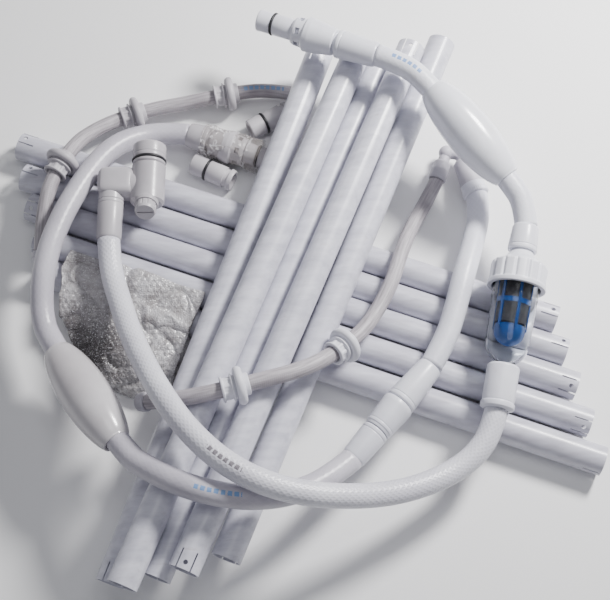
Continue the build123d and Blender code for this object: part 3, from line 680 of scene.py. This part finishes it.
# swivel
swivel_start = Vector(ROUTES["hose_left"][-1])
swivel_end = Vector(ROUTES["hose_right"][0])
swivel_axis = (swivel_end - swivel_start).normalized()
swivel_length = (swivel_end - swivel_start).length / MM
barrel_end = swivel_length - 61.5
nut("swivel_lower_nut_turned", swivel_start + swivel_axis * 44 * MM, -swivel_axis, 44, 17, 15.4,
    "swivel_lower_nut")
nut("swivel_upper_nut_turned", swivel_start + swivel_axis * (swivel_length - 60) * MM, swivel_axis,
    60, 19, 15.6, "swivel_upper_nut")
lathe("swivel_shell_turned", swivel_start, swivel_axis,
      [(45, 13.3), (45, 16.5), (48.4, 17), (49.2, 17.9), (52, 18), (53, 17.6), (54, 18.1),
       (barrel_end - 7, 19.8), (barrel_end - 5, 20), (barrel_end, 19), (barrel_end, 13.3),
       (barrel_end - 5, 13.3), (barrel_end - 6, 15.2), (53, 15.2), (52, 13.3)], "white",
      "swivel_shell", replaced=["swivel_barrel"], steps=96, closed=True)

# wall elbow
# its nut, wall plug and arm take the darker copy of the white plastic: painted shade
mouth = Vector(ROUTES["hose_outer"][-1])
nut_top = Vector((mouth.x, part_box("elbow_hose_nut")[1].y, mouth.z))
nut("elbow_nut_turned", nut_top, mouth - nut_top, (nut_top - mouth).length / MM, 16.4, 15.6,
    "elbow_hose_nut", "shaded_white")
wall_place, wall_axis = joint_axis("wall_plug_spin")
lathe("wall_plug_turned", wall_place, wall_axis,
      [(36.8, 12), (36.8, 16.7), (53, 16.7), (53, 19), (55, 21), (58, 21), (58, 19), (62, 19),
       (62, 21), (66, 21.1), (67, 20.6), (68, 21.2), (80, 21.5), (82, 20), (82, 12)], "shaded_white",
      "wall_plug", replaced=["wall_nipple"], steps=96, closed=True)


def boxy(angle, height, radius):
    """Round-cornered square section."""
    power = 4.5
    spread = abs(math.cos(angle)) ** power + abs(math.sin(angle)) ** power
    return radius / spread ** (1 / power)


lathe("elbow_arm_moulded", (mouth.x, 0.1365, mouth.z), (1, 0, 0),
      [(-17.5, 0.2), (-17.5, 9), (-16, 14), (-12, 17.5), (-6, 18.6), (20, 18.6), (25, 17), (28, 13),
       (29, 8), (29, 0.2)], "shaded_white", replaced=[], steps=96, shape=boxy)

# sweep take-off nut
reducer = Vector(ROUTES["hose_right"][-1])
reducer_axis = Vector((0.2175, 0.1905, 0.02)) - reducer


def knurled(angle, height, radius):
    """Fine grip ribs on the rim."""
    return radius + (0.35 * math.cos(40 * angle) if 1 < height < 7.2 and radius > 17 else 0.0)


lathe("reducer_nut_turned", reducer, reducer_axis,
      [(0, 9.5), (0, 16), (1.5, 17.2), (7, 17.2), (8, 16.4), (16, 16.2), (16, 9.5)], "white",
      replaced=["reducer_hose_nut"], steps=160, shape=knurled, closed=True)

# spare nipples
SPARES = [((-0.141, 0.191, 0.0156), (-0.085, 0.164, 0.0156)),
          ((-0.066, 0.24, 0.0156), (-0.01, 0.272, 0.0156))]
# the spare nipples take the darker copy of the white plastic: painted shade
for number, (first, last) in enumerate(SPARES, 1):
    lathe(f"spare_nipple_{number}", first, Vector(last) - Vector(first),
          [(0, 9), (0, 13.4), (1, 14), (20, 14), (20, 12), (24, 12), (24, 14), (48, 14), (48, 12),
           (54, 12), (54, 14.6), (60, 13.6), (60, 9)], "shaded_white", replaced=["spare_nipples"],
          closed=True)

# ---- floats ----------------------------------------------------------------
FLOAT_LENGTH = 148.0
FLOAT_R = 30.0
FLOAT_END_R = 17.0
half = FLOAT_LENGTH / 2
reach = half / math.sqrt(1 - (FLOAT_END_R / FLOAT_R) ** 2)
oval = [(half + h, FLOAT_R * math.sqrt(1 - (h / reach) ** 2))
        for h in [half * (-0.94 + 1.88 * k / 30) for k in range(31)]]
float_profile = ([(0, 14.45), (0, 16.2), (0.7, 17.1), (2.4, 17.5)] + oval
                 + [(FLOAT_LENGTH - 2.4, 17.5), (FLOAT_LENGTH - 0.7, 17.1), (FLOAT_LENGTH, 16.2),
                    (FLOAT_LENGTH, 14.45)])


def seamed(angle, height, radius):
    """Mould seam down both sides and a slight waviness of the blown skin."""
    if radius < 15:
        return radius
    across = min(abs(math.sin(angle - 0.5)), 1.0)
    wave = 0.14 * math.sin(3 * angle + height * 0.04) * math.sin(height * 0.05)
    return radius + 0.3 * math.exp(-(across / 0.03) ** 2) + wave


for side in ("upper", "lower"):
    place, axis = joint_axis(f"{side}_float_spin")
    # the lower float takes the darker copy of the float plastic: painted shade
    look = "float" if side == "upper" else "shaded_float"
    lathe(f"{side}_float_blown", place - axis * half * MM, axis, float_profile, look,
                         f"{side}_hose_float", [f"{side}_float"], steps=180,
                         shape=seamed, closed=True, soft=0.3)


# ---- wear rings ------------------------------------------------------------
def ribbed(angle, height, radius):
    """Window ribs on the cage beyond the disc."""
    if 8.5 < height < 20.5 and 12.0 < radius < 13.6:
        return radius + 1.1 * max(0.0, math.cos(8 * angle)) ** 0.4
    return radius


disc = [(5.2 * math.sin(math.radians(a)), 18.2 + 4.8 * math.cos(math.radians(a)))
        for a in range(-115, 116, 10)]
ring_profile = ([(-11, 10.9), (-11, 12.4), (-10, 13.2), (-5.4, 13.4), (-3.6, 14)] + disc
                + [(3.6, 14), (7.4, 13.6), (7.9, 16.2), (9.6, 16.4), (10.2, 12.6), (19, 12.5),
                   (19.4, 15.4), (21.2, 15.4), (22, 14.4), (22, 10.9)])
for number in range(1, 6):
    place, axis = joint_axis(f"wear_ring_{number}_spin")
    # rings 3 to 5 take the darker copy of the ring plastic: painted shade
    lathe(f"wear_ring_{number}_moulded", place, axis, ring_profile,
                       "ring" if number < 3 else "shaded_ring", f"hose_ring_{number}", [f"wear_ring_{number}"], steps=168,
                       shape=ribbed, closed=True, soft=0.5)


# ---- wrapped pack ----------------------------------------------------------
def bubbled_pack():
    """Bubble film drawn round the loose parts: creases first, then rows of bubbles."""
    pack = bpy.data.objects.new("pack_source", NODES["wrapped_pack"].data.copy())
    bpy.context.collection.objects.link(pack)
    remesh = pack.modifiers.new("skin", "REMESH")
    remesh.mode = "VOXEL"
    remesh.voxel_size = 0.0014
    relax = pack.modifiers.new("relax", "SMOOTH")
    relax.iterations = 14
    relax.factor = 0.6
    bpy.context.view_layer.update()
    evaluated = pack.evaluated_get(bpy.context.evaluated_depsgraph_get())
    mesh = bpy.data.meshes.new_from_object(evaluated)
    bpy.data.objects.remove(pack)
    mesh.update()
    pitch = 0.0078
    moved = []
    for vertex in mesh.vertices:
        p, normal = vertex.co.copy(), vertex.normal.copy()
        crease = 1 - abs(noise.noise(p * 26.0)) * 2.2
        fine = 1 - abs(noise.noise(p * 62.0 + Vector((4, 1, 7)))) * 2.0
        lift = -0.004 * max(0.0, crease) ** 3 - 0.0009 * max(0.0, fine) ** 2
        lift += 0.006 * noise.noise(p * 15.0) - 0.001
        row = round(p.y / (pitch * 0.866))
        column = round(p.x / pitch - 0.5 * (row % 2)) + 0.5 * (row % 2)
        away = math.hypot(p.x - column * pitch, p.y - row * pitch * 0.866)
        bubble = max(0.0, 1 - (away / 0.0034) ** 2) ** 0.5 * 0.0008
        moved.append(p + normal * (lift + bubble * max(0.0, normal.z)))
    for vertex, place in zip(mesh.vertices, moved):
        vertex.co = (place.x, place.y, max(place.z, 0.0004))
    return keep("bubble_pack", mesh, "bubble", KIT, ["wrapped_pack"])


bubbled_pack()


# ---- clear bag -------------------------------------------------------------
def connector_bag():
    """Loose film drawn round the left connector, gathered at the hose and open at the plug."""
    origin, along, across, up = axes_of(*joint_axis("left_plug_spin"))
    rows, columns, first, last = 64, 132, 16.0, 96.0
    points = []
    for row in range(rows):
        part = row / (rows - 1)
        height = first + (last - first) * part
        mouth = 3.0 * max(0.0, 0.25 - part) / 0.25
        for column in range(columns):
            angle = 2 * math.pi * column / columns
            ray = across * math.cos(angle) + up * math.sin(angle)
            spot = ray * 1.6 + along * height * 0.045
            fold = max(0.0, 1 - abs(noise.noise(spot * 0.8)) * 4.5) ** 2
            slack = 1.2 + 1.2 * noise.noise(spot * 0.5 + Vector((3, 8, 1)))
            radius = 19.4 + mouth + 1.8 * fold + slack
            edge = 3.0 * noise.noise(spot * 2.2) * (part < 0.02 or part > 0.98)
            place = origin + along * (height + edge) * MM + ray * radius * MM
            points.append((place.x, place.y, max(place.z, 0.0006)))
    faces = [(r * columns + c, r * columns + (c + 1) % columns,
              (r + 1) * columns + (c + 1) % columns, (r + 1) * columns + c)
             for r in range(rows - 1) for c in range(columns)]
    mesh = bpy.data.meshes.new("connector_bag")
    mesh.from_pydata(points, [], faces)
    return keep("connector_bag", mesh, "bag", KIT)


bag = connector_bag()

# ---- CAD nodes that keep their shape ---------------------------------------
# the left-hand barrel, the elbow body and its relief knob take the darker copy of the white plastic: painted shade
KEPT = {
    "top_swivel_barrel": "white", "left_swivel_barrel": "shaded_white", "elbow_body": "shaded_white",
    "relief_knob": "shaded_white", "relief_poppet": "white", "swivel_lower_spool": "white",
    "swivel_upper_spool": "white", "reducer_body": "grey", "sweep_elbow": "grey",
    "sweep_cuffs": "grey", "strainer_basket": "blue", "swivel_balls": "steel",
    "relief_spring": "steel", "filter_seal": "rubber", "spare_seals": "rubber",
    "top_nipple_seal": "rubber", "left_nipple_seal": "rubber", "wall_nipple_seal": "rubber",
}
for number in range(1, 6):
    KEPT[f"floor_tube_{number}"] = "floor_tube"
    KEPT[f"top_tube_{number}"] = "top_tube"
for node, look in KEPT.items():
    paint(NODES[node], look)

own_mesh(NODES["relief_spring"])


# ---- floor and light -------------------------------------------------------
def add_floor():
    floor = bpy.data.meshes.new("studio_floor")
    floor.from_pydata([(-4, -4, 0), (4, -4, 0), (4, 4, 0), (-4, 4, 0)], [], [(0, 1, 2, 3)])
    obj = bpy.data.objects.new("studio_floor", floor)
    obj.location.z = -0.0006
    bpy.context.collection.objects.link(obj)
    m = Nodes("studio_floor")
    m.link(m.ramp(m.noise(m.place(), 2.0), 0, (0.94, 0.94, 0.945), (0.97, 0.97, 0.975)), 0,
           m.shader, "Base Color")
    m.shader.inputs["Roughness"].default_value = 0.9
    floor.materials.append(m.material)


def add_light(name, position, aim, size, power, tint=(1, 1, 1)):
    data = bpy.data.lights.new(name, "AREA")
    data.shape = "DISK"
    data.size = size
    data.energy = power
    data.color = tint
    lamp = bpy.data.objects.new(name, data)
    lamp.location = position
    lamp.rotation_mode = "QUATERNION"
    lamp.rotation_quaternion = (Vector(aim) - Vector(position)).to_track_quat("-Z", "Y")
    bpy.context.collection.objects.link(lamp)


add_floor()
add_light("key", (0.85, 0.72, 1.05), (0.05, 0.05, 0.03), 0.34, 46.0, (1.0, 0.99, 0.98))
add_light("fill", (-1.6, -1.3, 1.8), (0, 0, 0), 2.0, 4.0, (0.9, 0.91, 1.0))
add_light("top", (0.3, 0.2, 2.4), (0, 0, 0), 1.2, 9.0, (0.96, 0.97, 1.0))
world = bpy.data.worlds.new("studio_world")
world.use_nodes = True
world.node_tree.nodes["Background"].inputs["Color"].default_value = (0.88, 0.89, 0.95, 1)
world.node_tree.nodes["Background"].inputs["Strength"].default_value = 0.24
bpy.context.scene.world = world
